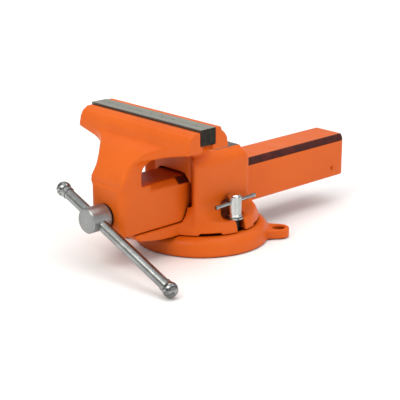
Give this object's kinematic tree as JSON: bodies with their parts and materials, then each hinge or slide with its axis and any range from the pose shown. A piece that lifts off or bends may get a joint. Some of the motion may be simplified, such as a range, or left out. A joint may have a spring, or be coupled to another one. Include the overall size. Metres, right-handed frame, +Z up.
{
  "type": "bench vise",
  "caption": "Swivel bench vise that opens its front jaw on a square slide bar when the spindle is turned by a sliding cross handle; bolts to a bench through base lugs.",
  "frame": {"origin": "on the swivel axis, at the flat underside of the swivel base, where it meets the bench", "axes": "+X along the jaws, +Y from the handle to the rear end of the slide bar, +Z up from the bench"},
  "size_m": [0.1815, 0.3267, 0.1321],
  "materials": {
    "paint": "semi-gloss orange enamel on cast iron",
    "plate_steel": "ground, hardened",
    "turned_steel": "turned",
    "zinc": "bright plated",
    "black_steel": "black oxide"
  },
  "bodies": {
    "base": {"swivel_base": "paint", "base_lugs": "paint", "pivot_pin": "black_steel"},
    "vise_body": {"fixed_body": "paint", "fixed_jaw_plate": "plate_steel", "fixed_jaw_screws": "black_steel", "spindle_nut": "turned_steel", "nut_bolt": "black_steel", "swivel_t_bolts": "black_steel", "lock_washers": "zinc"},
    "near_lock": {"lock_nut_near": "zinc"},
    "near_cross_bar": {"lock_bar_near": "zinc", "lock_tips_near": "zinc"},
    "far_lock": {"lock_nut_far": "zinc"},
    "far_cross_bar": {"lock_bar_far": "zinc", "lock_tips_far": "zinc"},
    "front_jaw": {"movable_jaw": "paint", "movable_jaw_plate": "plate_steel", "movable_jaw_screws": "black_steel", "bar_stop_pins": "paint"},
    "spindle": {"spindle_screw": "turned_steel", "thrust_washer": "black_steel", "spindle_collar": "turned_steel", "collar_pin": "black_steel"},
    "handle": {"handle_rod": "zinc", "handle_ball_near": "zinc", "handle_ball_far": "zinc"}
  },
  "joints": [
    {"name": "swivel", "type": "hinge", "parent": "base", "child": "vise_body", "pos_m": [0, 0, 0.02], "axis": [0, 0, 1], "continuous": true},
    {"name": "near_lock_turn", "type": "hinge", "parent": "vise_body", "child": "near_lock", "pos_m": [0.045, 0, 0.0448], "axis": [0, 0, 1], "range_deg": [-13, 6]},
    {"name": "near_bar_slide", "type": "slide", "parent": "near_lock", "child": "near_cross_bar", "axis": [-0.0872, 0.9962, 0], "range_m": [-0.019, 0.0158]},
    {"name": "far_lock_turn", "type": "hinge", "parent": "vise_body", "child": "far_lock", "pos_m": [-0.045, 0, 0.0448], "axis": [0, 0, 1], "range_deg": [-7, 12]},
    {"name": "far_bar_slide", "type": "slide", "parent": "far_lock", "child": "far_cross_bar", "axis": [0.0698, 0.9976, 0], "range_m": [-0.0144, 0.0204]},
    {"name": "jaw_slide", "type": "slide", "parent": "vise_body", "child": "front_jaw", "axis": [0, -1, 0], "range_m": [0, 0.125]},
    {"name": "spindle_turn", "type": "hinge", "parent": "front_jaw", "child": "spindle", "pos_m": [0, -0.13105, 0.0472], "axis": [0, -1, 0], "range_deg": [0, 9000]},
    {"name": "handle_slide", "type": "slide", "parent": "spindle", "child": "handle", "axis": [0.9298, 0, -0.3681], "range_m": [-0.0868, 0.0278]}
  ],
  "couplings": [
    {"joint": "jaw_slide", "follows": "spindle_turn", "m_per_rad": 0.00079577}
  ]
}
